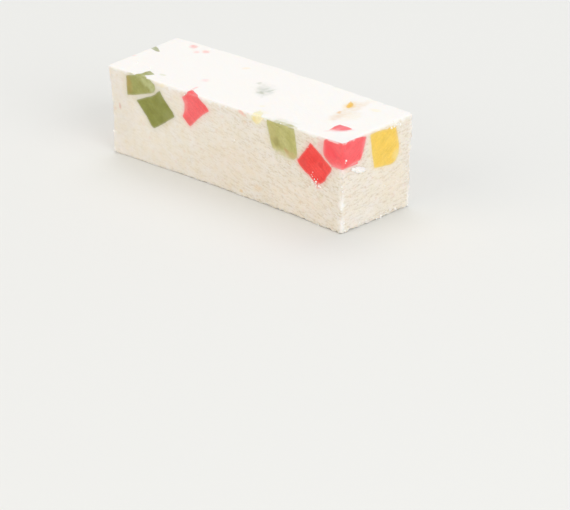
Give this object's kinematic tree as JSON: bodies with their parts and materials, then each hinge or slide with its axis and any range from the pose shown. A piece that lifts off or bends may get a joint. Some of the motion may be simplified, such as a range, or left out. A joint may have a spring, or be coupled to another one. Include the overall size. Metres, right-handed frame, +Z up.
{
  "type": "fruit pastila bar",
  "caption": "Stick of white whipped-fruit pastila with diced candied fruit set flush in its cut faces; rests on its flat foot.",
  "frame": {"origin": "on the surface that the bar rests on, under the middle of the bar's box", "axes": "+X along the bar, towards the end with the pink and yellow fruit; +Y away from the long side with most fruit; +Z up"},
  "size_m": [0.0812, 0.0274, 0.0247],
  "materials": {
    "foam": "matte white whipped foam, starch-dusted top, finely pored cut sides",
    "green_fruit": "translucent candied fruit jelly, cut face with fine drag lines",
    "olive_fruit": "translucent candied fruit jelly, partly veiled by foam",
    "pale_green_fruit": "translucent candied fruit jelly, partly veiled by foam",
    "red_fruit": "translucent candied fruit jelly, cut face with fine drag lines",
    "coral_fruit": "translucent candied fruit jelly, cut face with fine drag lines",
    "pink_fruit": "translucent candied fruit jelly, cut face with fine drag lines",
    "yellow_fruit": "translucent candied fruit jelly, cut face with fine drag lines",
    "pale_yellow_fruit": "translucent candied fruit jelly, veiled by foam",
    "orange_fruit": "translucent candied fruit jelly, veiled by foam"
  },
  "bodies": {
    "root": {"foam_bar": "foam", "dice_olive_front": "olive_fruit", "dice_green_front": "green_fruit", "dice_coral_front": "coral_fruit", "chip_yellow_front": "pale_yellow_fruit", "dice_pale_green_front": "pale_green_fruit", "dice_red_front": "red_fruit", "dice_pink_corner": "pink_fruit", "dice_yellow_end": "yellow_fruit", "dice_green_far": "green_fruit", "dice_red_far": "red_fruit", "chip_orange_top": "orange_fruit", "dice_red_back": "red_fruit", "dice_yellow_back": "yellow_fruit", "dice_green_back": "green_fruit", "dice_pink_back": "coral_fruit", "dice_olive_back": "olive_fruit", "chip_yellow_back": "yellow_fruit"}
  },
  "joints": []
}
